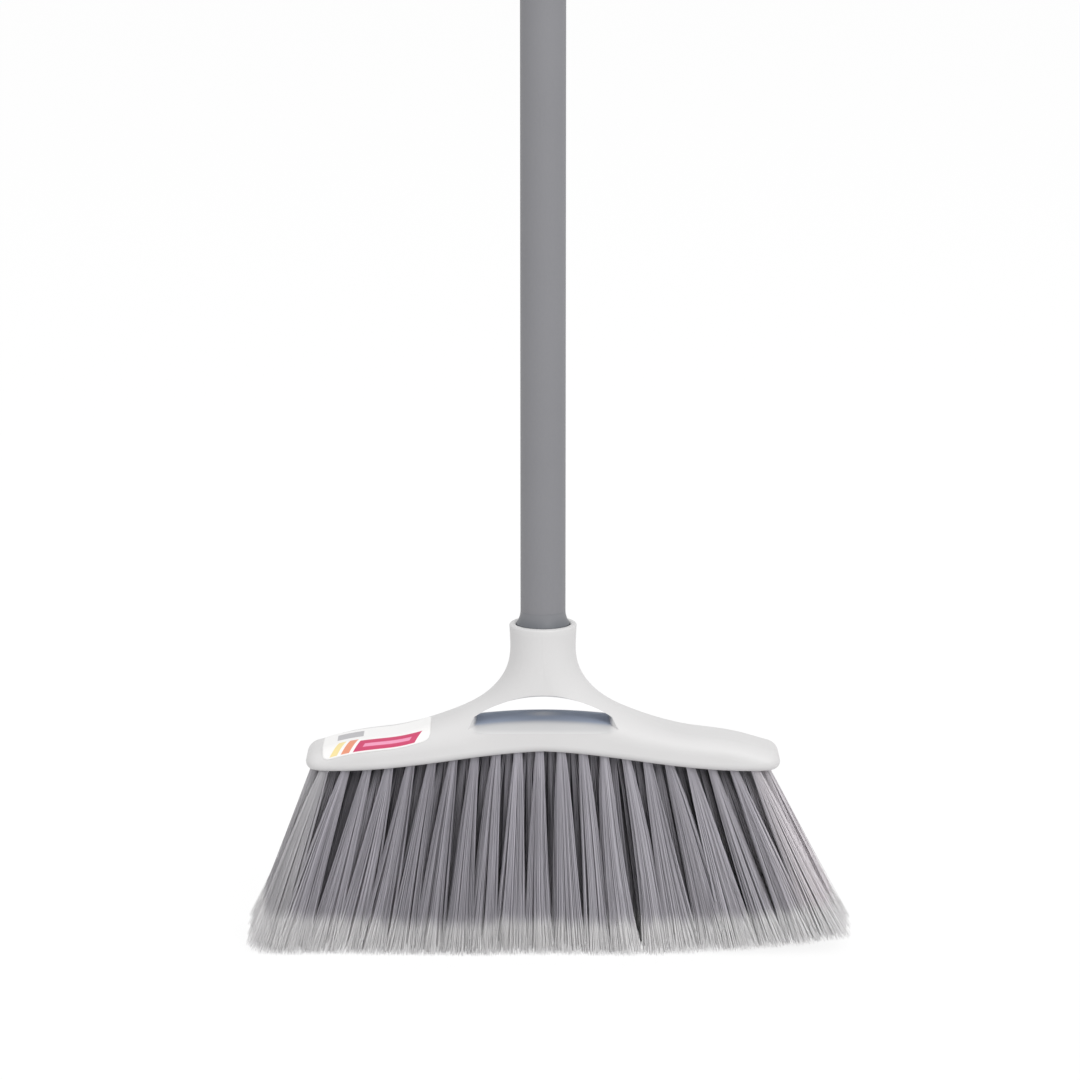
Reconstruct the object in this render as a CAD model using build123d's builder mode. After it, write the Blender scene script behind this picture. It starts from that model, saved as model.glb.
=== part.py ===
# An upright broom: a moulded head with a window under its socket, set with leaning bristle tufts,
# on a painted steel tube that screws into the socket by a moulded ferrule.
# Millimetres. The floor is z = 0, the handle's axis is Z, and the front of the broom faces -Y.
import os
from math import cos, pi, radians, sin, tan

from build123d import *

# Head. Its outer line runs from the rim down the neck and out along the wing: each point's way from
# the socket's side to the head's end, and its height as a share of the head's.
HEAD_LENGTH = 254.0
HEAD_THICKNESS = 42.0
HEAD_END_THICKNESS = 36.0
HEAD_HEIGHT = 77.7
HEAD_LINE = [
    (0.0, 1.0),
    (-0.005, 0.846),
    (0.013, 0.691),
    (0.109, 0.510),
    (0.280, 0.372),
    (0.569, 0.242),
    (0.752, 0.209),
    (0.899, 0.158),
    (1.119, 0.068),
]
HEAD_END_FALL = 0.35
HEAD_SECTIONS = 13
SECTION_PAST_MIDDLE = 3.0
SECTION_PAST_UNDERSIDE = 14.0
STEEP = 0.01
NECK_FLARE = 0.6
NECK_FLAT = 0.1
CROWN_RADIUS = 9.0
END_RADIUS = 8.0
UNDERSIDE_ARCH = 10.6
UNDERSIDE_LOW_X = 105.0
UNDERSIDE_EDGE_RADIUS = 4.0

# Socket in the head's neck, and the window below it
SOCKET_DIAMETER = 36.0
SOCKET_DEPTH = 30.0
SOCKET_FLOOR = 7.2
SOCKET_RIM_RADIUS = 1.2
MOUTH_DEPTH = 6.0
WINDOW_WIDTH = 73.0
WINDOW_HEIGHT = 13.6
WINDOW_ARCH = 11.2
WINDOW_SILL_ARCH = 2.4
WINDOW_EDGE_FLARE = 1.5
WINDOW_SILL_FLARE = 5.5
WINDOW_END_FLARE = 5.0
WINDOW_CORNER_FLARE = 1.8
WINDOW_FLARE_STEPS = 4

# Tufts of bristle, set in leaning blind holes in four rows
BRISTLE_LENGTH = 97.3
OUTER_ROW_TUFTS = 21
OUTER_ROW_MARGIN = 10.0
INNER_ROW_TUFTS = 22
INNER_ROW_MARGIN = 5.5
RIGHT_END_INSET = 3.5
ROW_PITCH = 7.5
HOLE_DIAMETER = 5.6
HOLE_DEPTH = 9.0
TUFT_CLEARANCE = 0.15
TIP_REACH_LEFT = 152.5
TIP_REACH_RIGHT = 156.5
SPLAY = 8.0
TUFT_ROOT_INSET = 0.15
TUFT_ROOT_CORNER = 38.5
TUFT_TIP_WIDTH = 13.6
TUFT_TIP_DEPTH = 13.0
OUTER_TUFT_COLUMNS = 3
INNER_TUFT_COLUMNS = 2
TUFT_STRAND_ROWS = 2
STRAND_ROOT_GAP = 0.3
STRAND_TIP_GAP = 1.2
STRAND_BURIED = 1.0
TRIM_END_LEFT = 12.0
TRIM_LIFT_LEFT = 3.0
TRIM_END_RIGHT = 88.0
TRIM_LIFT_RIGHT = 9.0

# Flat wire anchors that hold the tufts
ANCHOR_THICKNESS = 0.5
ANCHOR_WIDTH = 2.0
ANCHOR_BITE = 0.5
ANCHOR_COVER = 2.5
ANCHOR_CLEARANCE = 0.1

# Handle tube
TUBE_DIAMETER = 24.0
TUBE_WALL = 0.6
TUBE_LENGTH = 1180.0

# Threaded ferrule in the tube's lower end
THREAD_CORE_DIAMETER = 16.0
THREAD_DEPTH = 1.5
THREAD_PITCH = 5.08
THREAD_CLEARANCE = 0.45
COLLAR_DIAMETER = 28.6
COLLAR_FLARE = 7.0
MOUTH_CLEARANCE = 0.3
FERRULE_BORE_DIAMETER = 9.0
FERRULE_BOTTOM = 3.0
PLUG_LENGTH = 30.0
PLUG_WALL = 2.0
PLUG_CLEARANCE = 0.05

# Hanging cap in the tube's upper end
CAP_HEIGHT = 24.0
CAP_BAND = 4.0
CAP_TOP_DIAMETER = 15.0
CAP_TOP_RADIUS = 4.0
CAP_TAB_THICKNESS = 11.0
CAP_FLOOR = 2.0
CAP_EDGE_RADIUS = 1.0
HANG_HOLE_DIAMETER = 8.0
HANG_HOLE_DROP = 10.0

# Heights and radii that follow from the sizes above
low_z = BRISTLE_LENGTH
rim_z = low_z + HEAD_HEIGHT
mouth_z = rim_z - MOUTH_DEPTH
socket_floor_z = rim_z - SOCKET_DEPTH
crown_z = socket_floor_z - SOCKET_FLOOR
sill_z = crown_z - WINDOW_HEIGHT
tube_foot_z = rim_z + COLLAR_FLARE
tube_top_z = tube_foot_z + TUBE_LENGTH
socket_r = SOCKET_DIAMETER / 2
core_r = THREAD_CORE_DIAMETER / 2
tube_r = TUBE_DIAMETER / 2
plug_r = tube_r - TUBE_WALL - PLUG_CLEARANCE
half_length = HEAD_LENGTH / 2
outer_row_half = half_length - OUTER_ROW_MARGIN
inner_row_half = half_length - INNER_ROW_MARGIN
outer_row_y = 1.5 * ROW_PITCH
inner_row_y = 0.5 * ROW_PITCH
root_r = HOLE_DIAMETER / 2 - TUFT_CLEARANCE
root_width = 2 * (root_r - TUFT_ROOT_INSET) * cos(radians(TUFT_ROOT_CORNER))
root_depth = 2 * (root_r - TUFT_ROOT_INSET) * sin(radians(TUFT_ROOT_CORNER))
os.makedirs("parts", exist_ok=True)


def ease(share):
    """A share from 0 to 1 that starts and ends level."""
    share = min(max(share, 0.0), 1.0)
    return share * share * (3 - 2 * share)


def underside_z(x):
    """Height of the head's underside, a wave that is high at mid length and low near each end."""
    return low_z + UNDERSIDE_ARCH * (1 + cos(pi * x / UNDERSIDE_LOW_X)) / 2


def trim_z(x):
    """Height at which the tips are cut: level, then lifting towards each end."""
    if x < 0:
        reach, end, lift = TIP_REACH_LEFT, TRIM_END_LEFT, TRIM_LIFT_LEFT
    else:
        reach, end, lift = TIP_REACH_RIGHT, TRIM_END_RIGHT, TRIM_LIFT_RIGHT
    return lift * (max(abs(x) - reach + end, 0) / end) ** 2


def tuft_plane(x, y, depth):
    """A plane across a tuft's axis, depth millimetres up its hole from the head's underside. Each row
    fans out evenly, so that its last tufts meet the floor at the tips' reach."""
    row_half = outer_row_half if abs(y) > ROW_PITCH else inner_row_half
    if x < 0:
        fan = TIP_REACH_LEFT / row_half
    else:
        fan = TIP_REACH_RIGHT / (row_half - RIGHT_END_INSET)
    lean = x * (fan - 1) / underside_z(x)
    splay = tan(radians(SPLAY * y / outer_row_y))
    down = Vector(lean, splay, -1).normalized()
    return Plane(origin=Vector(x, y, underside_z(x)) - down * depth, x_dir=(1, 0, lean), z_dir=down)


def row_of_tufts(y, half, count):
    """Where a row's tufts stand, evenly spaced along the head. A row stops shorter at the right end."""
    pitch = (2 * half - RIGHT_END_INSET) / (count - 1)
    return [(step * pitch - half, y) for step in range(count)]


ROWS = {
    "front": row_of_tufts(-outer_row_y, outer_row_half, OUTER_ROW_TUFTS),
    "inner_front": row_of_tufts(-inner_row_y, inner_row_half, INNER_ROW_TUFTS),
    "inner_rear": row_of_tufts(inner_row_y, inner_row_half, INNER_ROW_TUFTS),
    "rear": row_of_tufts(outer_row_y, outer_row_half, OUTER_ROW_TUFTS),
}
tuft_places = [place for row in ROWS.values() for place in row]


def screw(foot_z, length, clearance):
    """A round rod wound about the handle's axis, which makes a rounded thread, grown by a clearance."""
    with BuildPart() as rod:
        with BuildLine() as coil:
            Helix(THREAD_PITCH, length, THREAD_DEPTH / 2, center=(0, 0, foot_z))
        with BuildSketch(Plane(coil.line @ 0)):
            Circle(core_r + THREAD_DEPTH / 2 + clearance)
        sweep(path=coil.line, normal=(0, 0, 1))
    return rod.part


# The socket's thread starts one turn below the ferrule's, so that the two are in step.
tip_z = socket_floor_z + THREAD_PITCH
ferrule_screw = screw(tip_z, mouth_z - tip_z, 0)
socket_screw = screw(socket_floor_z, SOCKET_DEPTH, THREAD_CLEARANCE)

# The window's space, under an arch and over a sill. It flares to the front and the back, most at the
# sill and the ends, which roll over into the head's faces.
rear_flares = [(1, step / WINDOW_FLARE_STEPS) for step in range(WINDOW_FLARE_STEPS + 2)]
front_flares = [(-1, flare) for side, flare in reversed(rear_flares)]
with BuildPart() as window_space:
    for side, flare in front_flares + rear_flares:
        y = side * (socket_r - WINDOW_SILL_FLARE * (1 - flare))
        opening = flare * flare
        half = WINDOW_WIDTH / 2 + opening * WINDOW_END_FLARE
        top = crown_z + opening * WINDOW_EDGE_FLARE
        top_end = top - WINDOW_ARCH * (2 * half / WINDOW_WIDTH) ** 2
        bottom = sill_z - opening * WINDOW_SILL_FLARE
        bottom_end = sill_z - WINDOW_SILL_ARCH - opening * WINDOW_CORNER_FLARE
        with BuildSketch(Plane.XZ.offset(-y)):
            with BuildLine():
                arch = ThreePointArc((-half, top_end), (0, top), (half, top_end))
                sill = ThreePointArc((-half, bottom_end), (0, bottom), (half, bottom_end))
                Line(sill @ 0, arch @ 0)
                Line(sill @ 1, arch @ 1)
            make_face()
    loft()

with BuildLine(Plane.XZ) as outer_line:
    Spline(
        *[
            (socket_r + way * (half_length - socket_r), low_z + height * HEAD_HEIGHT)
            for way, height in HEAD_LINE
        ],
        tangents=((0, -1), (1, -HEAD_END_FALL)),
    )

with BuildPart() as broom_head:
    # Half of the body, in sections across the outer line: round at the neck, flat-sided in the wing.
    # Each section runs on past the middle of the head, or past its underside, whichever is nearer.
    for step in range(HEAD_SECTIONS):
        point = outer_line.line @ (step / (HEAD_SECTIONS - 1))
        along = outer_line.line % (step / (HEAD_SECTIONS - 1))
        swell = ease((point.X - socket_r) / (NECK_FLARE * (half_length - socket_r)))
        neck = min(point.X, socket_r)
        taper = (point.X / half_length) ** 2
        wing = HEAD_THICKNESS / 2 - taper * (HEAD_THICKNESS - HEAD_END_THICKNESS) / 2
        half = neck + swell * (wing - neck)
        crown = (half - NECK_FLAT) + swell * (CROWN_RADIUS - half + NECK_FLAT)
        to_middle = (point.X + SECTION_PAST_MIDDLE) / max(-along.Z, STEEP)
        to_below = (point.Z - low_z + SECTION_PAST_UNDERSIDE) / max(along.X, STEEP)
        across = Plane(origin=point, x_dir=(-along.Z, 0, along.X), z_dir=along)
        with BuildSketch(across) as section:
            Rectangle(min(to_middle, to_below), 2 * half, align=(Align.MAX, Align.CENTER))
            fillet(section.vertices().sort_by(Axis(across.origin, across.x_dir))[-2:], crown)
    loft()
    split(bisect_by=Plane.YZ, keep=Keep.TOP)
    split(bisect_by=Plane.YZ.offset(half_length), keep=Keep.BOTTOM)

    # Arched underside, rounded end and rounded lower edge
    with BuildSketch(Plane.XZ.offset(HEAD_THICKNESS)):
        with BuildLine():
            stations = [step * UNDERSIDE_LOW_X / 2 for step in range(-1, 4)]
            wave = Spline(*[(x, underside_z(x)) for x in stations])
            Polyline(wave @ 0, (stations[0], 0), (stations[-1], 0), wave @ 1)
        make_face()
    extrude(amount=-2 * HEAD_THICKNESS, mode=Mode.SUBTRACT)
    end_face = broom_head.faces().sort_by(Axis.X)[-1]
    fillet(end_face.edges().sort_by(Axis.Z)[1:], END_RADIUS)
    underside = broom_head.faces().sort_by_distance((UNDERSIDE_LOW_X / 2, 0, 0))[0]
    fillet(underside.edges().sort_by(Axis.X)[1:], UNDERSIDE_EDGE_RADIUS)
    mirror(about=Plane.YZ)

    # Window, threaded socket and tuft holes
    add(window_space.part, mode=Mode.SUBTRACT)
    with Locations((0, 0, rim_z)):
        Cylinder(
            COLLAR_DIAMETER / 2 + MOUTH_CLEARANCE,
            MOUTH_DEPTH,
            align=(Align.CENTER, Align.CENTER, Align.MAX),
            mode=Mode.SUBTRACT,
        )
    rim = broom_head.faces().sort_by(Axis.Z)[-1]
    fillet(rim.edges(), SOCKET_RIM_RADIUS)
    add(socket_screw, mode=Mode.SUBTRACT)
    with Locations(*[tuft_plane(x, y, HOLE_DEPTH) for x, y in tuft_places]):
        Cylinder(
            HOLE_DIAMETER / 2,
            2 * HOLE_DEPTH,
            align=(Align.CENTER, Align.CENTER, Align.MIN),
            mode=Mode.SUBTRACT,
        )
broom_head.part.label = "broom_head"
export_step(broom_head.part, "parts/broom_head.step")

with BuildPart() as handle_ferrule:
    with BuildSketch(Plane.XZ):
        with BuildLine():
            collar_r = COLLAR_DIAMETER / 2
            plug_top_z = tube_foot_z + PLUG_LENGTH
            Polyline((0, mouth_z), (collar_r, mouth_z), (collar_r, rim_z))
            TangentArc((tube_r, tube_foot_z), (collar_r, rim_z), tangent=(0, -1))
            Polyline((tube_r, tube_foot_z), (plug_r, tube_foot_z), (plug_r, plug_top_z))
            Polyline((plug_r, plug_top_z), (0, plug_top_z), (0, mouth_z))
        make_face()
    revolve(axis=Axis.Z)
    add(ferrule_screw)
    with Locations((0, 0, plug_top_z)):
        Cylinder(
            plug_r - PLUG_WALL,
            PLUG_LENGTH,
            align=(Align.CENTER, Align.CENTER, Align.MAX),
            mode=Mode.SUBTRACT,
        )
        Cylinder(
            FERRULE_BORE_DIAMETER / 2,
            plug_top_z - tip_z - FERRULE_BOTTOM,
            align=(Align.CENTER, Align.CENTER, Align.MAX),
            mode=Mode.SUBTRACT,
        )
handle_ferrule.part.label = "handle_ferrule"
export_step(handle_ferrule.part, "parts/handle_ferrule.step")

with BuildPart() as handle_tube:
    with BuildSketch(Plane.XY.offset(tube_foot_z)):
        Circle(tube_r)
        Circle(tube_r - TUBE_WALL, mode=Mode.SUBTRACT)
    extrude(amount=TUBE_LENGTH)
handle_tube.part.label = "handle_tube"
export_step(handle_tube.part, "parts/handle_tube.step")

with BuildPart() as handle_cap:
    with BuildSketch(Plane.XZ):
        with BuildLine():
            band_z = tube_top_z + CAP_BAND
            peak_z = tube_top_z + CAP_HEIGHT
            top_r = CAP_TOP_DIAMETER / 2
            foot_z = tube_top_z - PLUG_LENGTH
            Polyline((0, foot_z), (plug_r, foot_z), (plug_r, tube_top_z))
            Polyline((plug_r, tube_top_z), (tube_r, tube_top_z), (tube_r, band_z))
            TangentArc((tube_r, band_z), (top_r, peak_z), tangent=(0, 1))
            Polyline((top_r, peak_z), (0, peak_z), (0, foot_z))
        make_face()
    revolve(axis=Axis.Z)
    fillet(handle_cap.edges().sort_by(Axis.Z)[-1], CAP_TOP_RADIUS)
    with Locations((0, 0, foot_z)):
        Cylinder(
            plug_r - PLUG_WALL,
            PLUG_LENGTH - CAP_FLOOR,
            align=(Align.CENTER, Align.CENTER, Align.MIN),
            mode=Mode.SUBTRACT,
        )
    for side in (-1, 1):
        with Locations((0, side * (tube_r + CAP_TAB_THICKNESS / 2), band_z)):
            Box(
                2 * TUBE_DIAMETER,
                TUBE_DIAMETER,
                CAP_HEIGHT,
                align=(Align.CENTER, Align.CENTER, Align.MIN),
                mode=Mode.SUBTRACT,
            )
    tab_sides = handle_cap.faces().filter_by(Axis.Y)
    fillet(tab_sides.edges(), CAP_EDGE_RADIUS)
    with Locations(Plane.XZ):
        with Locations((0, peak_z - HANG_HOLE_DROP)):
            Cylinder(HANG_HOLE_DIAMETER / 2, TUBE_DIAMETER, mode=Mode.SUBTRACT)
handle_cap.part.label = "handle_cap"
export_step(handle_cap.part, "parts/handle_cap.step")


def spread(middle, size, gap, count, number):
    """The middle and the width of one of several strands that share a size, with gaps between them."""
    width = (size - gap * (count - 1)) / count
    return middle + (number - (count - 1) / 2) * (width + gap), width


def make_tuft(x, y, columns):
    """A tuft: a round root with a slot for its anchor, and strands that spread to the trimmed tips."""
    root = tuft_plane(x, y, STRAND_BURIED).origin
    axis = tuft_plane(x, y, 0).z_dir
    foot = root - axis * (root.Z / axis.Z)
    strands = []
    for column in range(columns):
        for row in range(TUFT_STRAND_ROWS):
            root_x, root_x_size = spread(root.X, root_width, STRAND_ROOT_GAP, columns, column)
            root_y, root_y_size = spread(root.Y, root_depth, STRAND_ROOT_GAP, TUFT_STRAND_ROWS, row)
            tip_x, tip_x_size = spread(foot.X, TUFT_TIP_WIDTH, STRAND_TIP_GAP, columns, column)
            tip_y, tip_y_size = spread(foot.Y, TUFT_TIP_DEPTH, STRAND_TIP_GAP, TUFT_STRAND_ROWS, row)
            with BuildPart() as strand:
                with BuildSketch(Plane((root_x, root_y, root.Z))):
                    Rectangle(root_x_size, root_y_size)
                with BuildSketch(Plane((tip_x, tip_y, trim_z(tip_x)))):
                    Rectangle(tip_x_size, tip_y_size)
                loft(ruled=True)
            strands.append(strand.part)
    with BuildPart() as tuft:
        with Locations(tuft_plane(x, y, HOLE_DEPTH)):
            Cylinder(root_r, HOLE_DEPTH, align=(Align.CENTER, Align.CENTER, Align.MIN))
        with Locations(tuft_plane(x, y, HOLE_DEPTH - ANCHOR_COVER)):
            Box(
                2 * HOLE_DIAMETER,
                ANCHOR_THICKNESS + 2 * ANCHOR_CLEARANCE,
                ANCHOR_WIDTH + 2 * ANCHOR_CLEARANCE,
                mode=Mode.SUBTRACT,
            )
        add(strands)
    return tuft.part


for number, (x, y) in enumerate(ROWS["front"], 1):
    front_tuft = make_tuft(x, y, OUTER_TUFT_COLUMNS)
    front_tuft.label = f"front_tuft_{number:02d}"
    export_step(front_tuft, f"parts/{front_tuft.label}.step")
    rear_tuft = mirror(front_tuft, about=Plane.XZ)
    rear_tuft.label = f"rear_tuft_{number:02d}"
    export_step(rear_tuft, f"parts/{rear_tuft.label}.step")

inner_tufts = [make_tuft(x, y, INNER_TUFT_COLUMNS) for x, y in ROWS["inner_front"]]
inner_front_tufts = Compound([tuft.solid() for tuft in inner_tufts])
inner_front_tufts.label = "inner_front_tufts"
export_step(inner_front_tufts, "parts/inner_front_tufts.step")

inner_rear_tufts = mirror(inner_front_tufts, about=Plane.XZ)
inner_rear_tufts.label = "inner_rear_tufts"
export_step(inner_rear_tufts, "parts/inner_rear_tufts.step")

for row_name, places in ROWS.items():
    with BuildPart() as anchors:
        with Locations(*[tuft_plane(x, y, HOLE_DEPTH - ANCHOR_COVER) for x, y in places]):
            Box(HOLE_DIAMETER + 2 * ANCHOR_BITE, ANCHOR_THICKNESS, ANCHOR_WIDTH)
    anchors.part.label = f"{row_name}_anchors"
    export_step(anchors.part, f"parts/{anchors.part.label}.step")
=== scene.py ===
# An upright broom: finishes for its solid parts, and its label, bristles and handle tube, in metres.
from math import cos, pi, radians, sin, sqrt, tan

import bmesh
import bpy
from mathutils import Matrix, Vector
from mathutils.bvhtree import BVHTree


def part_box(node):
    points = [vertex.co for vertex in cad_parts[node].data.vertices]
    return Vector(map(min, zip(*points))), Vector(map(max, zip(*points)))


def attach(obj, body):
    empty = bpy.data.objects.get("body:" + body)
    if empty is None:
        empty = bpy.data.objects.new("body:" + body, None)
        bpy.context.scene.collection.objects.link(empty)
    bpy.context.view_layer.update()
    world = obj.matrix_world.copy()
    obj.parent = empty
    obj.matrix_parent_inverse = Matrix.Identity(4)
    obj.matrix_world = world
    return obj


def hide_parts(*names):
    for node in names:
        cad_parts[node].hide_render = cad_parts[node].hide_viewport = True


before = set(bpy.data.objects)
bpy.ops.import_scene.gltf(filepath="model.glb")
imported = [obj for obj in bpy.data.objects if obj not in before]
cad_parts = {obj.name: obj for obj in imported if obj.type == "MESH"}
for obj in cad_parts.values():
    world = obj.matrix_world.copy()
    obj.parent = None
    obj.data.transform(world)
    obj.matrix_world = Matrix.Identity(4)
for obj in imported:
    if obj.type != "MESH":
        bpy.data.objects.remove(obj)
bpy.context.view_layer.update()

# Broom head
# One injection moulding in pale grey polypropylene, satin from the fine texture of its mould. The halves
# of the mould meet in a faint line along the middle. The window's flat sill, under the neck, has painted
# shade in slate grey that pales towards its ends, and the roll below the sill has painted shade a little
# darker than the rest.


def srgb(red, green, blue):
    """A colour as a shader takes it, from its values of 0 to 255 on a screen."""
    shares = [value / 255 for value in (red, green, blue)]
    linear = [share / 12.92 if share <= 0.04045 else ((share + 0.055) / 1.055) ** 2.4 for share in shares]
    return (*linear, 1)


HEAD_PALE = srgb(214, 213, 213)
HEAD_PALEST = srgb(223, 222, 222)
HEAD_CLOUD = 0.04
HEAD_GRAIN = 0.0005
HEAD_GRAIN_SHARE = 0.15
HEAD_RELIEF = 0.00004
HEAD_ROUGHNESS = 0.36
HEAD_ROUGHER_GRAIN = 0.16
PARTING_LINE = 0.0003
# Painted shade on the window's flat sill, slate grey in the middle and paler at its ends
SILL_PAINTED_SHADE_MIDDLE = srgb(150, 160, 178)
SILL_PAINTED_SHADE_ENDS = srgb(176, 187, 206)
SILL_ROUGHER = 0.35
SILL_HALF_LENGTH = 0.0365
SILL_EDGE = 0.0020
SILL_TOP = 0.1255
SILL_TOP_EDGE = SILL_EDGE / 3
SILL_FLAT = 0.0095
SILL_ROLL = 0.0062
SILL_FACING_UP = 0.5
# Painted shade on the roll below the sill, a little darker than the rest of the head
ROLL_SHADE = srgb(196, 196, 197)
ROLL_FOOT = 0.1175
ROLL_FADE = 0.0034
RIM_SLOPE = 0.0042
RIM_DRAWN_IN = 0.0007


def plug(node, sockets):
    """Sets a node's sockets, by name or number, to values or to wires from other nodes."""
    for name, value in sockets.items():
        if isinstance(value, Wire):
            node.id_data.links.new(value.socket, node.inputs[name])
        else:
            node.inputs[name].default_value = value


class Wire:
    """An output of a node. Arithmetic on wires adds Math nodes, and node() adds any other node."""

    def __init__(self, tree, socket=None):
        self.tree = tree
        self.socket = socket

    def node(self, kind, settings=None, sockets=None, output=0):
        """Adds a node, sets its settings and then its sockets, and gives one of its outputs."""
        made = self.tree.nodes.new(kind)
        for name, setting in (settings or {}).items():
            setattr(made, name, setting)
        plug(made, sockets or {})
        return Wire(self.tree, made.outputs[output])

    def out(self, name):
        """Another output of the same node."""
        return Wire(self.tree, self.socket.node.outputs[name])

    def math(self, operation, *values):
        """The result of a Math node on these values."""
        return self.node("ShaderNodeMath", {"operation": operation}, dict(enumerate(values)))

    def __add__(self, other):
        return self.math("ADD", self, other)

    def __sub__(self, other):
        return self.math("SUBTRACT", self, other)

    def __rsub__(self, other):
        return self.math("SUBTRACT", other, self)

    def __mul__(self, other):
        return self.math("MULTIPLY", self, other)

    def __truediv__(self, other):
        return self.math("DIVIDE", self, other)

    def __rtruediv__(self, other):
        return self.math("DIVIDE", other, self)

    def __pow__(self, other):
        return self.math("POWER", self, other)

    def __abs__(self):
        return self.math("ABSOLUTE", self)

    __radd__ = __add__
    __rmul__ = __mul__


def axes_of(vector):
    """The X, Y and Z of a vector."""
    split = vector.node("ShaderNodeSeparateXYZ", sockets={"Vector": vector})
    return [split.out(axis) for axis in "XYZ"]


def ramp(value, start, end):
    """0 before start, 1 past end, and smooth between. Start may be the larger."""
    limits = {"Value": value, "From Min": start, "From Max": end}
    return value.node("ShaderNodeMapRange", {"interpolation_type": "SMOOTHSTEP"}, limits)


def mix(share, first, second):
    """A colour between two others. A Mix node's colour sockets go by number, as their names repeat."""
    return share.node("ShaderNodeMix", {"data_type": "RGBA"}, {0: share, 6: first, 7: second}, output=2)


def noise(place, size):
    """Cloudy noise from about 0 to 1, in lumps of about this size."""
    return place.node("ShaderNodeTexNoise", sockets={"Vector": place, "Scale": 1 / size})


def bump(height, depth, under=None):
    """A surface normal from a height of 0 to 1 that stands for this depth, on top of another if given."""
    form = height.node("ShaderNodeBump", sockets={"Height": height, "Distance": depth})
    if under:
        plug(form.socket.node, {"Normal": under})
    return form


def new_material(name):
    """A new material, the wire that its nodes start from, and its shader."""
    material = bpy.data.materials.new(name)
    material.use_nodes = True
    return material, Wire(material.node_tree), material.node_tree.nodes["Principled BSDF"]


def place_on(wire):
    """A point's place on its piece, in the frame that all pieces share."""
    return wire.node("ShaderNodeTexCoord", output="Object")


def coat(material, *nodes):
    """Gives solid parts their finish."""
    for node in nodes:
        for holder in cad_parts[node].material_slots:
            holder.material = material


head_low, head_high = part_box("broom_head")
satin_plastic, wire, shader = new_material("satin_plastic")
place = place_on(wire)
x, y, z = axes_of(place)
facing_up = axes_of(place.out("Normal"))[2]
cloud = noise(place, HEAD_CLOUD)
grain = noise(place, HEAD_GRAIN)
parting = ramp(abs(y), PARTING_LINE, 0)
in_window = ramp(abs(x), SILL_HALF_LENGTH + SILL_EDGE, SILL_HALF_LENGTH - SILL_EDGE)
in_window = in_window * ramp(z, SILL_TOP, SILL_TOP - SILL_TOP_EDGE)
# Painted shade: the flat sill, where the neck keeps the light off, is coloured slate grey, and the roll
# below it a little darker
shaded_sill = in_window * ramp(abs(y), SILL_FLAT + SILL_ROLL, SILL_FLAT) * ramp(facing_up, 0, SILL_FACING_UP)
shaded_roll = in_window * ramp(z, ROLL_FOOT, ROLL_FOOT + ROLL_FADE)
sill_shade_colour = mix(ramp(abs(x), 0, SILL_HALF_LENGTH), SILL_PAINTED_SHADE_MIDDLE, SILL_PAINTED_SHADE_ENDS)
pale = mix(cloud, HEAD_PALE, HEAD_PALEST)
# Painted shade on the roll below the sill
pale = mix(shaded_roll, pale, ROLL_SHADE)
# The neck draws in a little towards its rim, which is halfway up a slope of twice that depth.
up_slope = ramp(z, head_high.z - RIM_SLOPE, head_high.z + RIM_SLOPE)
rim_slope = bump(1 - up_slope, 2 * RIM_DRAWN_IN)
plug(
    shader,
    {
        "Base Color": mix(shaded_sill, pale, sill_shade_colour),
        "Roughness": HEAD_ROUGHNESS + HEAD_ROUGHER_GRAIN * grain + SILL_ROUGHER * shaded_sill,
        "Normal": bump(grain * HEAD_GRAIN_SHARE + parting, HEAD_RELIEF, rim_slope),
    },
)
coat(satin_plastic, "broom_head")

# Label
# A printed film sticker on the left wing, wrapped from the front face over the crown to the top. Its
# print is plain shapes: a raspberry block with a pink stripe, two slanting bars and a grey panel.
LABEL_LEFT = -0.118
LABEL_RIGHT = -0.060
LABEL_START = radians(20)
LABEL_ON_TOP = 0.020
LABEL_CORNER = 0.004
LABEL_FILM = 0.00012
LABEL_COLUMNS = 58
LABEL_ROWS = 40
LABEL_WHITE = srgb(250, 249, 248)
LABEL_ROUGHNESS = 0.32
LABEL_ROUGHER_GRAIN = 0.05
LABEL_COAT = 0.3
CROWN_RADIUS = 0.009
FAR = 1.0
INK_EDGE = 0.0002
INK_SLANT = 0.6
# Each shape's ink, its reach along the label, its rise from the lower edge, and how it slants
PRINTED_SHAPES = {
    "yellow_bar": (srgb(246, 226, 160), (0.0035, 0.0075), (0.0010, 0.0095), INK_SLANT),
    "orange_bar": (srgb(233, 150, 118), (0.0095, 0.0140), (0.0010, 0.0095), INK_SLANT),
    "raspberry_block": (srgb(205, 58, 104), (0.0160, 0.0490), (0.0010, 0.0078), INK_SLANT),
    "pink_stripe": (srgb(236, 150, 184), (0.0200, 0.0450), (0.0032, 0.0052), INK_SLANT),
    "grey_panel": (srgb(170, 168, 172), (0.0080, 0.0220), (0.0145, 0.0260), 0),
}

head_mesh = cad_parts["broom_head"].data
head_surface = BVHTree.FromPolygons(
    [vertex.co for vertex in head_mesh.vertices],
    [face.vertices[:] for face in head_mesh.polygons],
)
crown_way = CROWN_RADIUS * (pi / 2 - LABEL_START)
label_way = crown_way + LABEL_ON_TOP
label_length = LABEL_RIGHT - LABEL_LEFT


def on_head(start, direction):
    """The point just off the head's surface that a line from outside meets first."""
    hit, normal = head_surface.ray_cast(Vector(start), Vector(direction))[:2]
    return hit + normal * LABEL_FILM / 2


def over_crown(x, way):
    """The point this way along the head's section at x, from the front of its round crown to the top."""
    top = on_head((x, 0, FAR), (0, 0, -1)).z
    face = on_head((x, -FAR, top - CROWN_RADIUS), (0, 1, 0)).y
    if way < crown_way:
        angle = LABEL_START + way / CROWN_RADIUS
        inwards = Vector((0, cos(angle), -sin(angle)))
        centre = Vector((x, face + CROWN_RADIUS, top - CROWN_RADIUS))
        return on_head(centre - inwards * 2 * CROWN_RADIUS, inwards)
    return on_head((x, face + CROWN_RADIUS + way - crown_way, FAR), (0, 0, -1))


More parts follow.
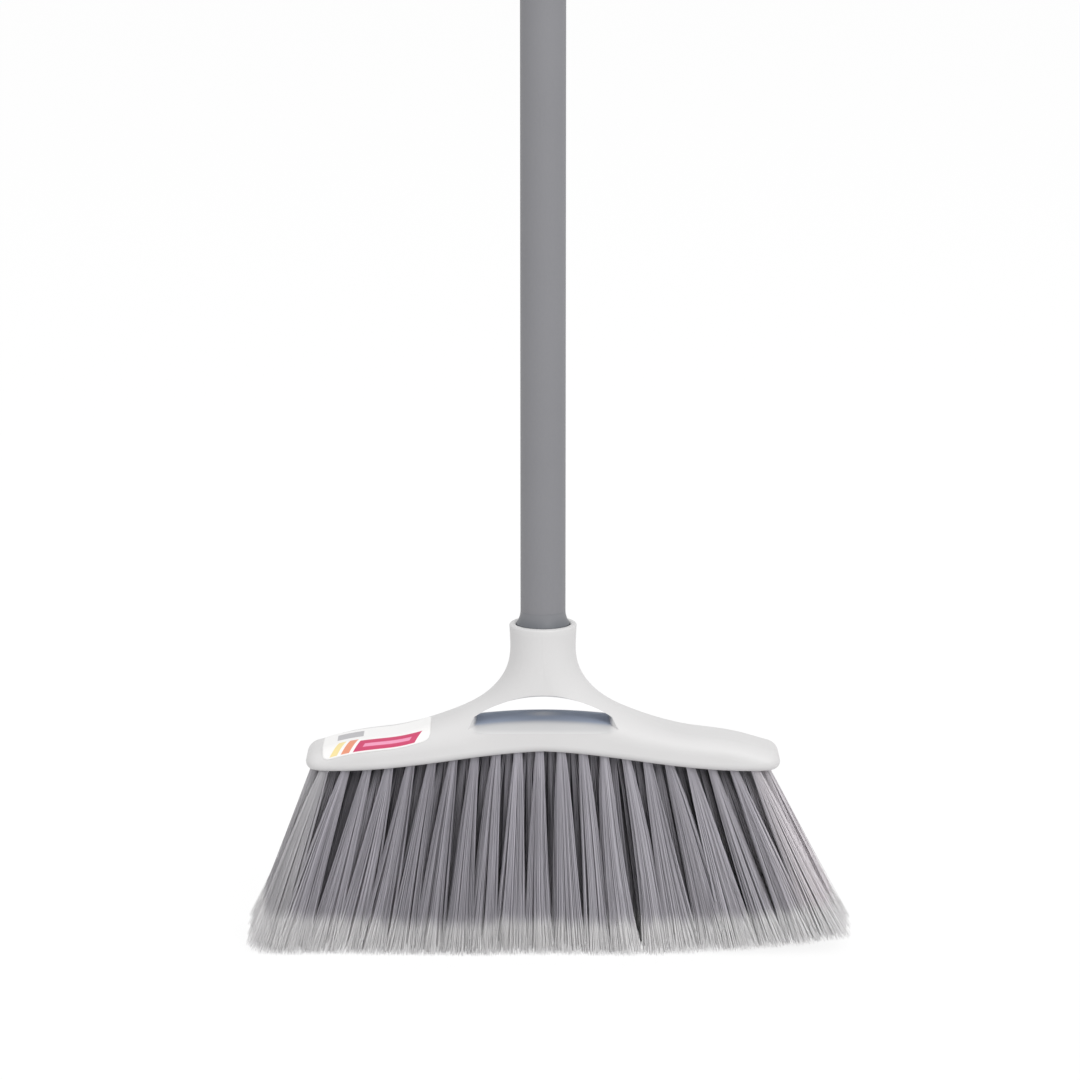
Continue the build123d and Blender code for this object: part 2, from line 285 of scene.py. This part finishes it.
label_form = bmesh.new()
label_uv = label_form.loops.layers.uv.new("print")
label_grid = []
for column in range(LABEL_COLUMNS + 1):
    along = label_length * column / LABEL_COLUMNS
    short = max(LABEL_CORNER - min(along, label_length - along), 0)
    inset = LABEL_CORNER - sqrt(LABEL_CORNER**2 - short**2)
    label_grid.append([])
    for row in range(LABEL_ROWS + 1):
        way = inset + (label_way - 2 * inset) * row / LABEL_ROWS
        vertex = label_form.verts.new(over_crown(LABEL_LEFT + along, way))
        label_grid[column].append((vertex, along / label_length, way / label_way))
for column, after in zip(label_grid, label_grid[1:]):
    for row in range(LABEL_ROWS):
        corners = [column[row], after[row], after[row + 1], column[row + 1]]
        face = label_form.faces.new([vertex for vertex, across, up in corners])
        face.smooth = True
        for loop, (vertex, across, up) in zip(face.loops, corners):
            loop[label_uv].uv = (across, up)
label_mesh = bpy.data.meshes.new("label")
label_form.to_mesh(label_mesh)
label_form.free()
label = bpy.data.objects.new("label", label_mesh)
bpy.context.scene.collection.objects.link(label)
film = label.modifiers.new("film", "SOLIDIFY")
film.thickness = LABEL_FILM
film.offset = 1

label_print, wire, shader = new_material("label_print")
across, up = axes_of(wire.node("ShaderNodeUVMap", {"uv_map": "print"}))[:2]
along_print = across * label_length
up_print = up * label_way


def between(value, low, high):
    """1 where a value lies between two others, with the soft edge of a print."""
    return ramp(value, low - INK_EDGE, low + INK_EDGE) * ramp(value, high + INK_EDGE, high - INK_EDGE)


design = LABEL_WHITE
for ink, reach, rise, slant in PRINTED_SHAPES.values():
    shape = between(along_print - up_print * slant, *reach) * between(up_print, *rise)
    design = mix(shape, design, ink)
grain = noise(place_on(wire), HEAD_GRAIN)
plug(
    shader,
    {
        "Base Color": design,
        "Roughness": LABEL_ROUGHNESS + LABEL_ROUGHER_GRAIN * grain,
        "Coat Weight": LABEL_COAT,
    },
)
label_mesh.materials.append(label_print)
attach(label, "head")

# Wire anchors
# Short pieces of flat galvanised wire, one across each tuft hole. Each was driven in with its tuft folded
# over it, and its ends bite into the plastic.
ZINC_DARK = srgb(176, 178, 182)
ZINC_LIGHT = srgb(214, 215, 218)
ZINC_ROUGHNESS = 0.3
SPANGLE_SIZE = 0.0008
SPANGLE_ROUGHER = 0.25
SPANGLE_RELIEF = 0.00002

galvanised_wire, wire, shader = new_material("galvanised_wire")
spangle = noise(place_on(wire), SPANGLE_SIZE)
plug(
    shader,
    {
        "Base Color": mix(spangle, ZINC_DARK, ZINC_LIGHT),
        "Metallic": 1.0,
        "Roughness": ZINC_ROUGHNESS + SPANGLE_ROUGHER * spangle,
        "Normal": bump(spangle, SPANGLE_RELIEF),
    },
)
coat(galvanised_wire, "front_anchors", "inner_front_anchors", "inner_rear_anchors", "rear_anchors")

# Bristle tufts
# Bundles of fine grey polyester filament, folded in half over the anchors. They fan out from four rows of
# holes and are trimmed together, and their last centimetres are split into softer, paler ends.
OUTER_ROW_TUFTS = 21
OUTER_ROW_MARGIN = 0.010
INNER_ROW_TUFTS = 22
INNER_ROW_MARGIN = 0.0055
RIGHT_END_INSET = 0.0035
ROW_PITCH = 0.0075
UNDERSIDE_ARCH = 0.0106
UNDERSIDE_LOW_X = 0.105
TIP_REACH_LEFT = 0.1496
TIP_REACH_RIGHT = 0.1555
SPLAY = radians(8)
ROOT_BURIED = 0.002
TRIM_START_LEFT = -0.148
TRIM_RUN_LEFT = 0.010
TRIM_LIFT_LEFT = 0.005
TRIM_START_RIGHT = 0.045
TRIM_RUN_RIGHT = 0.1126
TRIM_LIFT_RIGHT = 0.008
TRIM_MOST_RUNS = 1.2

# How the filaments of a tuft spread, and what differs from one to the next
GOLDEN_ANGLE = pi * (3 - sqrt(5))
FILAMENT_SIDES = 3
BRISTLE_SIZES = {
    "Filaments": 280,
    "Segments": 5,
    "Thickness": 0.00036,
    "Tip Width": 0.0164,
    "Tip Depth": 0.0136,
    "Tip Fluff": 0.15,
    "Tuft Drift": 0.0010,
    "Tuft Bow": 0.0012,
    "Lock Size": 0.0065,
    "Lock Cling": 0.28,
    "Lock Parting": 0.85,
    "Stray": 0.0008,
    "Uneven Trim": 0.0004,
    "Seed": 11,
}
SLIM_TUFT = {"girth": 0.0021, "flare": 0.9}
BUSHY_TUFT = {"girth": 0.0033, "flare": 0.4}
TUFT_ATTRIBUTES = {"foot": "FLOAT_VECTOR", "tuft": "INT", "girth": "FLOAT", "flare": "FLOAT"}
WIDTH_RANGE = (0.82, 1.12)
FLARE_RANGE = (0.8, 1.15)
LEAST_CLING = 0.5
STRAY_BOW = 0.3
FLUFF_POWER = 8
PARTING_POWER = 6
STRAY_POWER = 3
TAPER = 0.45
TAPER_POWER = 4
SHADE_OF_STRAND = 0.3
SHADE_OF_TUFT = 0.2
SHADE_OF_LOCK = 0.47
SHADE_OF_SIDE = 0.03

# Colours of the fibre. The split ends reach further up at the left, the shafts grow paler towards the
# floor, and the tufts of the left end are paler. Painted light makes the tufts of the right side and the
# right end paler and pinker, and painted shade darkens the filaments deep between the outer rows near the
# head. A pair of places gives where a change starts and where it is full.
SHAFT_DARK = srgb(154, 151, 159)
SHAFT_LIGHT = srgb(208, 205, 213)
SHAFT_AT_FLOOR = srgb(240, 238, 244)
SHAFT_AT_FLOOR_SHARE = 0.25
SHAFT_ROUGHNESS = 0.42
SPLIT_DARK = srgb(238, 237, 238)
SPLIT_LIGHT = srgb(252, 251, 251)
SPLIT_ROUGHER = 0.25
FIBRE_MAP_LENGTH = 0.12
SPLIT_START = 0.019
SPLIT_FULL = 0.010
SPLIT_UNEVEN = 0.006
SPLIT_LONGER_LEFT = 0.003
SPLIT_LONGER_X = (-0.06, -0.15)
# Painted light, as if from the right, on the tufts of the right side
RIGHT_SIDE_PAINTED_LIGHT = srgb(236, 227, 231)
RIGHT_SIDE_SHARE = 0.08
RIGHT_SIDE_X = (0.03, 0.12)
LEFT_END_TINT = srgb(214, 213, 214)
LEFT_END_SHARE = 0.7
LEFT_END_X = (-0.109, -0.119)
LEFT_END_FAN = 0.24
# Painted light, as if from the right, on the tufts of the right end, more of it lower down
RIGHT_END_PAINTED_LIGHT = srgb(250, 244, 247)
RIGHT_END_SHARE = 0.55
RIGHT_END_SHARE_LOWER = 0.4
RIGHT_END_X = (0.104, 0.118)
RIGHT_END_FAN = 0.31
# Painted shade deep between the outer rows
DEEP_SHADE = srgb(104, 102, 108)
DEEP_Y = (0.0085, 0.0065)
DEEP_SPLAY = 0.093
DEEP_X = (0.116, 0.107)
DEEP_FAN = 0.33
DEEP_Z = (0.015, 0.095)

outer_row_y = 1.5 * ROW_PITCH
inner_row_y = 0.5 * ROW_PITCH

bristle_fibre, wire, shader = new_material("bristle_fibre")
tone, height = axes_of(wire.node("ShaderNodeUVMap", {"uv_map": "OFBake"}))[:2]
x, y, z = axes_of(place_on(wire))
below_head = head_low.z - z
drop = 1 - z / head_low.z
from_tip = (1 - height) * FIBRE_MAP_LENGTH - SPLIT_LONGER_LEFT * ramp(x, *SPLIT_LONGER_X)
split_share = ramp(from_tip - SPLIT_UNEVEN * tone, SPLIT_START, SPLIT_FULL)
left_end = ramp(x / (1 + drop * LEFT_END_FAN), *LEFT_END_X) * LEFT_END_SHARE
# Painted light on the right end, stronger towards the floor
right_end_light = ramp(x / (1 + drop * RIGHT_END_FAN), *RIGHT_END_X)
right_end_light = right_end_light * (RIGHT_END_SHARE + RIGHT_END_SHARE_LOWER * drop)
# Painted shade on the filaments deep between the outer rows, darkest near the head
deep = ramp(abs(y) - DEEP_SPLAY * below_head, *DEEP_Y) * ramp(abs(x) - DEEP_FAN * below_head, *DEEP_X)
deep = deep * ramp(z, *DEEP_Z)
shaft = mix(tone, SHAFT_DARK, SHAFT_LIGHT)
shaft = mix(drop * SHAFT_AT_FLOOR_SHARE, shaft, SHAFT_AT_FLOOR)
# Painted light: the right side and the right end are paler and pinker, as if lit from the right
shaft = mix(ramp(x, *RIGHT_SIDE_X) * RIGHT_SIDE_SHARE, shaft, RIGHT_SIDE_PAINTED_LIGHT)
shaft = mix(left_end, shaft, LEFT_END_TINT)
shaft = mix(right_end_light, shaft, RIGHT_END_PAINTED_LIGHT)
shaft = mix(deep, shaft, DEEP_SHADE)
split_end = mix(tone, SPLIT_DARK, SPLIT_LIGHT)
plug(
    shader,
    {
        "Base Color": mix(split_share, shaft, split_end),
        "Roughness": SHAFT_ROUGHNESS + SPLIT_ROUGHER * split_share,
    },
)

bristle_tree = bpy.data.node_groups.new("bristle_growth", "GeometryNodeTree")
socket_kinds = {"Roots": "NodeSocketGeometry", "Fibre": "NodeSocketMaterial"}
for name, size in BRISTLE_SIZES.items():
    socket_kinds[name] = "NodeSocketInt" if isinstance(size, int) else "NodeSocketFloat"
socket_keys = {}
for name, kind in socket_kinds.items():
    socket = bristle_tree.interface.new_socket(name, in_out="INPUT", socket_type=kind)
    socket_keys[name] = socket.identifier
bristle_tree.interface.new_socket("Bristles", in_out="OUTPUT", socket_type="NodeSocketGeometry")
given = Wire(bristle_tree).node("NodeGroupInput")


def stored(shape, name, value, kind="FLOAT", domain="POINT"):
    """A shape with a value kept on it under a name."""
    settings = {"data_type": kind, "domain": domain}
    sockets = {"Geometry": shape, "Name": name, "Value": value}
    return shape.node("GeometryNodeStoreNamedAttribute", settings, sockets)


def kept(name, kind="FLOAT"):
    """A value that the shape keeps under a name."""
    return given.node("GeometryNodeInputNamedAttribute", {"data_type": kind}, {"Name": name})


def copies(shape, amount):
    """A shape's points, each repeated a number of times."""
    return shape.node("GeometryNodeDuplicateElements", sockets={"Geometry": shape, "Amount": amount})


def chance(low, high, number, draw):
    """A random value between two others, always the same for a number and a draw. Each use has its own
    draw. The node's sockets for plain numbers go by number, as their names repeat."""
    sockets = {2: low, 3: high, "ID": number, "Seed": given.out("Seed") + draw}
    return given.node("FunctionNodeRandomValue", {"data_type": "FLOAT"}, sockets, output=1)


def trim_lift(past, run, lift):
    """How high the trim stands this far past its start, which grows with the square up to a limit."""
    runs = past / run
    runs = runs.math("MAXIMUM", runs, 0)
    runs = runs.math("MINIMUM", runs, TRIM_MOST_RUNS)
    return runs * runs * lift


starts = given.node("GeometryNodeMeshToPoints", sockets={"Mesh": given})
folded = copies(starts, given.out("Filaments"))
copy_number = folded.out("Duplicate Index")
folded = stored(folded, "filament", copy_number, "INT")
strand_number = kept("tuft", "INT") * given.out("Filaments") + copy_number
folded = stored(folded, "strand", strand_number, "INT")
points = copies(folded, given.out("Segments") + 1)
points = stored(points, "along", points.out("Duplicate Index") / given.out("Segments"))

# Each filament's place in its round hole, spread evenly, and in the tuft's squarer cluster of tips
filament = kept("filament", "INT")
tuft = kept("tuft", "INT")
strand = kept("strand", "INT")
along = kept("along")
angle = filament * GOLDEN_ANGLE
from_middle = ((filament + 0.5) / given.out("Filaments")) ** 0.5
side_x = angle.math("COSINE", angle)
side_y = angle.math("SINE", angle)
squarer = (side_x**4 + side_y**4) ** (-1 / 4)
side_x = side_x * from_middle
side_y = side_y * from_middle
root_x, root_y, root_z = axes_of(given.node("GeometryNodeInputPosition"))
foot_x, foot_y = axes_of(kept("foot", "FLOAT_VECTOR"))[:2]
foot_x = foot_x + chance(-1, 1, tuft, 1) * given.out("Tuft Drift")
foot_y = foot_y + chance(-1, 1, tuft, 2) * given.out("Tuft Drift")
tip_x = side_x * squarer * given.out("Tip Width") / 2 * chance(*WIDTH_RANGE, tuft, 3)
tip_y = side_y * squarer * given.out("Tip Depth") / 2

# Neighbours cling together in locks, also across tufts, and single filaments stray at their tips
tip_place_x = foot_x + tip_x
tip_place_y = foot_y + tip_y
tip_place = given.node("ShaderNodeCombineXYZ", sockets={"X": tip_place_x, "Y": tip_place_y})
lock = given.node(
    "ShaderNodeTexVoronoi",
    {"voronoi_dimensions": "2D"},
    {"Vector": tip_place, "Scale": 1 / given.out("Lock Size")},
    output="Position",
)
lock_x, lock_y = axes_of(lock)[:2]
lock_tone, lock_hold = axes_of(lock.out("Color"))[:2]
cling = given.out("Lock Cling") * (LEAST_CLING + lock_hold)
to_lock_x = (lock_x - tip_place_x) * cling
to_lock_y = (lock_y - tip_place_y) * cling
stray_x = chance(-1, 1, strand, 4) * given.out("Stray")
stray_y = chance(-1, 1, strand, 5) * given.out("Stray")
tip_z = trim_lift(TRIM_START_LEFT - tip_place_x, TRIM_RUN_LEFT, TRIM_LIFT_LEFT)
tip_z = tip_z + trim_lift(tip_place_x - TRIM_START_RIGHT, TRIM_RUN_RIGHT, TRIM_LIFT_RIGHT)
tip_z = tip_z + chance(0, 1, strand, 6) * given.out("Uneven Trim")

# A filament bends a little, leaves its neighbours more towards the tips, and leaves its lock at the tip
girth = kept("girth")
spread = along ** (kept("flare") * chance(*FLARE_RANGE, tuft, 13))
fluffed = spread * (1 + given.out("Tip Fluff") * along**FLUFF_POWER)
gather = spread * (1 - given.out("Lock Parting") * along**PARTING_POWER)
loose = along**STRAY_POWER
half_turn = along * pi
belly = half_turn.math("SINE", half_turn) * given.out("Tuft Bow")
filament_x = root_x + (foot_x - root_x) * along + side_x * girth * (1 - spread) + tip_x * fluffed
filament_y = root_y + (foot_y - root_y) * along + side_y * girth * (1 - spread) + tip_y * fluffed
filament_x = filament_x + to_lock_x * gather + stray_x * loose
filament_y = filament_y + to_lock_y * gather + stray_y * loose
filament_x = filament_x + belly * (chance(-1, 1, tuft, 7) + chance(-STRAY_BOW, STRAY_BOW, strand, 8))
filament_y = filament_y + belly * (chance(-1, 1, tuft, 9) + chance(-STRAY_BOW, STRAY_BOW, strand, 10))
filament_z = root_z + (tip_z - root_z) * along
line = given.node("ShaderNodeCombineXYZ", sockets={"X": filament_x, "Y": filament_y, "Z": filament_z})
points = stored(points, "from_tip", (root_z - tip_z) * (1 - along))
points = stored(points, "lock_tone", lock_tone)
points = points.node("GeometryNodeSetPosition", sockets={"Geometry": points, "Position": line})
lines = points.node(
    "GeometryNodePointsToCurves", sockets={"Points": points, "Curve Group ID": strand, "Weight": along}
)

# Filaments of a few flat sides, finer at their split ends, mapped by shade across and by length to the
# tip. Their outline is 1 across, so that its scale is their thickness.
outline = given.node(
    "GeometryNodeCurvePrimitiveCircle", sockets={"Resolution": FILAMENT_SIDES, "Radius": 0.5}
)
outline = stored(outline, "round", given.node("GeometryNodeInputIndex") / FILAMENT_SIDES)
fineness = given.out("Thickness") * (1 - TAPER * along**TAPER_POWER)
fibres = lines.node(
    "GeometryNodeCurveToMesh",
    sockets={"Curve": lines, "Profile Curve": outline, "Scale": fineness, "Fill Caps": True},
)
shade = chance(0, SHADE_OF_STRAND, strand, 11) + chance(0, SHADE_OF_TUFT, tuft, 12)
shade = shade + SHADE_OF_LOCK * kept("lock_tone") + SHADE_OF_SIDE * kept("round")
length_map = 1 - kept("from_tip") / FIBRE_MAP_LENGTH
map_place = given.node("ShaderNodeCombineXYZ", sockets={"X": shade, "Y": length_map})
fibres = stored(fibres, "OFBake", map_place, "FLOAT2", "CORNER")
fibres = fibres.node("GeometryNodeSetShadeSmooth", sockets={"Geometry": fibres})
fibres = fibres.node("GeometryNodeRealizeInstances", sockets={"Geometry": fibres})
fibres = fibres.node(
    "GeometryNodeSetMaterial", sockets={"Geometry": fibres, "Material": given.out("Fibre")}
)
plug(bristle_tree.nodes.new("NodeGroupOutput"), {"Bristles": fibres})


def row_of_tufts(y, margin, count):
    """Where a row's tufts stand, and how far each fans out. A row stops shorter at the right end."""
    left_half = head_high.x - margin
    right_half = left_half - RIGHT_END_INSET
    spots = []
    for step in range(count):
        x = step * (left_half + right_half) / (count - 1) - left_half
        fan = TIP_REACH_LEFT / left_half if x < 0 else TIP_REACH_RIGHT / right_half
        spots.append((x, y, fan))
    return spots


def planted(x, y, fan, shape):
    """A tuft: where it starts inside its hole, where its axis meets the floor, and how it spreads."""
    mouth = Vector((x, y, head_low.z + UNDERSIDE_ARCH * (1 + cos(pi * x / UNDERSIDE_LOW_X)) / 2))
    splay = tan(SPLAY * y / outer_row_y)
    foot = Vector((x * fan, y + splay * mouth.z, 0))
    return mouth + (mouth - foot).normalized() * ROOT_BURIED, foot, shape


def grow_bristles(name, tufts, first_number):
    """The filaments of one or more tufts, as a plain mesh that moves with the head."""
    roots = bpy.data.meshes.new(name)
    roots.from_pydata([root for root, foot, shape in tufts], [], [])
    for attribute, kind in TUFT_ATTRIBUTES.items():
        roots.attributes.new(attribute, kind, "POINT")
    for step, (root, foot, shape) in enumerate(tufts):
        roots.attributes["foot"].data[step].vector = foot
        roots.attributes["tuft"].data[step].value = first_number + step
        for attribute, size in shape.items():
            roots.attributes[attribute].data[step].value = size
    bristles = bpy.data.objects.new(name, roots)
    bpy.context.scene.collection.objects.link(bristles)
    growth = bristles.modifiers.new("growth", "NODES")
    growth.node_group = bristle_tree
    growth[socket_keys["Fibre"]] = bristle_fibre
    for size_name, size in BRISTLE_SIZES.items():
        growth[socket_keys[size_name]] = size
    graph = bpy.context.evaluated_depsgraph_get()
    grown = bpy.data.meshes.new_from_object(
        bristles.evaluated_get(graph), preserve_all_data_layers=True, depsgraph=graph
    )
    bristles.modifiers.remove(growth)
    bristles.data = grown
    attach(bristles, "head")
    return bristles


tuft_count = 0
for side, y in (("front", -outer_row_y), ("rear", outer_row_y)):
    for number, spot in enumerate(row_of_tufts(y, OUTER_ROW_MARGIN, OUTER_ROW_TUFTS), 1):
        tufts = [planted(*spot, SLIM_TUFT)]
        bristles = grow_bristles(f"{side}_bristles_{number:02d}", tufts, tuft_count)
        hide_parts(f"{side}_tuft_{number:02d}")
        tuft_count += 1
for side, y in (("inner_front", -inner_row_y), ("inner_rear", inner_row_y)):
    spots = row_of_tufts(y, INNER_ROW_MARGIN, INNER_ROW_TUFTS)
    shapes = [SLIM_TUFT] + [BUSHY_TUFT] * (INNER_ROW_TUFTS - 2) + [SLIM_TUFT]
    tufts = [planted(*spot, shape) for spot, shape in zip(spots, shapes)]
    bristles = grow_bristles(f"{side}_bristles", tufts, tuft_count)
    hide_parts(f"{side}_tufts")
    tuft_count += INNER_ROW_TUFTS

# Handle ferrule
# A dark grey moulding pressed into the tube's lower end. Its collar sits in the head's mouth, and its
# rounded thread screws into the socket. Painted shade darkens the collar towards its foot, where it
# enters the head's mouth.
# Painted shade at the collar's foot
COLLAR_PAINTED_SHADE = srgb(100, 103, 108)
COLLAR_LIGHT = srgb(127, 128, 132)
COLLAR_HEIGHT = 0.0075
COLLAR_UNEVEN = 0.001
MOULDED_ROUGHNESS = 0.4
MOULDED_ROUGHER_GRAIN = 0.2
MOULDED_RELIEF = 0.00002


def moulded(grain):
    """The roughness and relief of a moulding's fine texture."""
    return {
        "Roughness": MOULDED_ROUGHNESS + MOULDED_ROUGHER_GRAIN * grain,
        "Normal": bump(grain, MOULDED_RELIEF),
    }


tube_low, tube_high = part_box("handle_tube")
ferrule_grey, wire, shader = new_material("ferrule_grey")
place = place_on(wire)
grain = noise(place, HEAD_GRAIN)
# Painted shade: darker down the collar, towards the head's mouth
up_collar = ramp(axes_of(place)[2] + grain * COLLAR_UNEVEN, tube_low.z - COLLAR_HEIGHT, tube_low.z)
plug(shader, {"Base Color": mix(up_collar, COLLAR_PAINTED_SHADE, COLLAR_LIGHT), **moulded(grain)})
coat(ferrule_grey, "handle_ferrule")

# Handle tube
# Thin steel strip rolled and welded into a tube, and powder coated a matt grey with a light orange peel.
# Its weld shows as a faint line up the back, and its cut ends are slightly rounded.
TUBE_WALL = 0.0006
TUBE_SIDES = 96
TUBE_EDGE = 0.00008
TUBE_EDGE_STEPS = 4
PAINT_DARK = srgb(132, 132, 136)
PAINT_LIGHT = srgb(138, 138, 142)
PAINT_ROUGHNESS = 0.5
PEEL_SIZE = 0.0016
PEEL_ROUGHER = 0.15
PEEL_RELIEF = 0.00006
WELD_WIDTH = 0.0012

tube_radius = tube_high.x
inner_radius = tube_radius - TUBE_WALL
foot_edge = []
for step in range(TUBE_EDGE_STEPS + 1):
    turn = pi / 2 * step / TUBE_EDGE_STEPS
    radius = tube_radius - TUBE_EDGE * (1 - sin(turn))
    foot_edge.append((radius, tube_low.z + TUBE_EDGE * (1 - cos(turn))))
top_edge = [(radius, tube_low.z + tube_high.z - height) for radius, height in reversed(foot_edge)]
tube_profile = foot_edge + top_edge + [(inner_radius, tube_high.z), (inner_radius, tube_low.z)]

tube_form = bmesh.new()
turns = [2 * pi * step / TUBE_SIDES for step in range(TUBE_SIDES)]
rings = []
for radius, height in tube_profile:
    rings.append([tube_form.verts.new((radius * cos(turn), radius * sin(turn), height)) for turn in turns])
for lower, upper in zip(rings, rings[1:] + rings[:1]):
    for step in range(TUBE_SIDES):
        after = (step + 1) % TUBE_SIDES
        face = tube_form.faces.new((lower[step], lower[after], upper[after], upper[step]))
        face.smooth = True
bmesh.ops.recalc_face_normals(tube_form, faces=tube_form.faces)
tube_mesh = bpy.data.meshes.new("painted_tube")
tube_form.to_mesh(tube_mesh)
tube_form.free()
painted_tube = bpy.data.objects.new("painted_tube", tube_mesh)
bpy.context.scene.collection.objects.link(painted_tube)

powder_coat, wire, shader = new_material("powder_coat")
place = place_on(wire)
x, y = axes_of(place)[:2]
peel = noise(place, PEEL_SIZE)
weld = ramp(abs(x), WELD_WIDTH, 0) * ramp(y, 0, tube_radius)
plug(
    shader,
    {
        "Base Color": mix(noise(place, HEAD_CLOUD), PAINT_DARK, PAINT_LIGHT),
        "Roughness": PAINT_ROUGHNESS + PEEL_ROUGHER * peel,
        "Normal": bump(peel + weld, PEEL_RELIEF),
    },
)
tube_mesh.materials.append(powder_coat)
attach(painted_tube, "tube")
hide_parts("handle_tube")

# Handle cap
# A grey moulding pressed into the tube's upper end, with a flat tab and a hole to hang the broom by.
# It has the ferrule's fine texture.
CAP_DARK = srgb(126, 128, 132)
CAP_LIGHT = srgb(136, 138, 142)

cap_grey, wire, shader = new_material("cap_grey")
place = place_on(wire)
cap_tone = mix(noise(place, HEAD_CLOUD), CAP_DARK, CAP_LIGHT)
plug(shader, {"Base Color": cap_tone, **moulded(noise(place, HEAD_GRAIN))})
coat(cap_grey, "handle_cap")

# Studio
# A white floor without end under even white light, with one broad lamp to the right of the camera and a
# weaker one above. The floor shines white to the camera and still takes the broom's shadow.
WHITE = (1, 1, 1, 1)
SKY_LEVEL = 0.68
FLOOR_HALF = 30.0
FLOOR_PALE = srgb(240, 240, 240)
FLOOR_ROUGHNESS = 0.9
FLOOR_GLOW = 0.85
GLOW_LEVEL = 1.05
CAMERA_ELEVATION = radians(11.7)
CAMERA_DISTANCE = 2.2934
CAMERA_AIM = Vector((-0.0016, 0, 0.2201))
LAMP_AIM = Vector((0, 0, 0.15))
SENSOR = 36.0
LENS = 143.75


def seen_rays(wire):
    """1 for rays that show the background: the camera's own, and those that gloss and glass send on."""
    path = wire.node("ShaderNodeLightPath")
    seen = path.math("MAXIMUM", path.out("Is Camera Ray"), path.out("Is Glossy Ray"))
    return seen.math("MAXIMUM", seen, path.out("Is Transmission Ray"))


def lamp(name, place, size, level):
    """A soft square lamp aimed at the head. Its level is how bright a white surface facing it looks."""
    way = LAMP_AIM - Vector(place)
    light = bpy.data.lights.new(name, "AREA")
    light.size = size
    light.energy = level * (pi * way.length) ** 2
    holder = bpy.data.objects.new(name, light)
    holder.location = place
    holder.rotation_euler = way.to_track_quat("-Z", "Y").to_euler()
    bpy.context.scene.collection.objects.link(holder)


studio = bpy.data.worlds.new("studio")
studio.use_nodes = True
bpy.context.scene.world = studio
sky_strength = SKY_LEVEL + (1 - SKY_LEVEL) * seen_rays(Wire(studio.node_tree))
plug(studio.node_tree.nodes["Background"], {"Color": WHITE, "Strength": sky_strength})

floor_mesh = bpy.data.meshes.new("floor")
floor_corners = [(-FLOOR_HALF, -FLOOR_HALF, 0), (FLOOR_HALF, -FLOOR_HALF, 0)]
floor_corners += [(FLOOR_HALF, FLOOR_HALF, 0), (-FLOOR_HALF, FLOOR_HALF, 0)]
floor_mesh.from_pydata(floor_corners, [], [(0, 1, 2, 3)])
floor = bpy.data.objects.new("floor", floor_mesh)
bpy.context.scene.collection.objects.link(floor)
floor_white, wire, shader = new_material("floor_white")
plug(shader, {"Base Color": FLOOR_PALE, "Roughness": FLOOR_ROUGHNESS, "Specular IOR Level": 0})
lit = Wire(wire.tree, shader.outputs["BSDF"])
glow = wire.node("ShaderNodeEmission", sockets={"Color": WHITE, "Strength": GLOW_LEVEL})
surface = wire.node("ShaderNodeMixShader", sockets={0: seen_rays(wire) * FLOOR_GLOW, 1: lit, 2: glow})
plug(wire.tree.nodes["Material Output"], {"Surface": surface})
floor_mesh.materials.append(floor_white)

lamp("key_lamp", place=(1.8, -4.0, 3.2), size=2.6, level=0.30)
lamp("top_lamp", place=(0.2, -1.5, 5.0), size=3.0, level=0.16)

back = Vector((0, -cos(CAMERA_ELEVATION), sin(CAMERA_ELEVATION)))
camera = bpy.data.objects.new("camera", bpy.data.cameras.new("camera"))
camera.data.sensor_width = SENSOR
camera.data.lens = LENS
camera.location = CAMERA_AIM + back * CAMERA_DISTANCE
camera.rotation_euler = (pi / 2 - CAMERA_ELEVATION, 0, 0)
bpy.context.scene.collection.objects.link(camera)
bpy.context.scene.camera = camera
bpy.context.scene.view_settings.view_transform = "Standard"
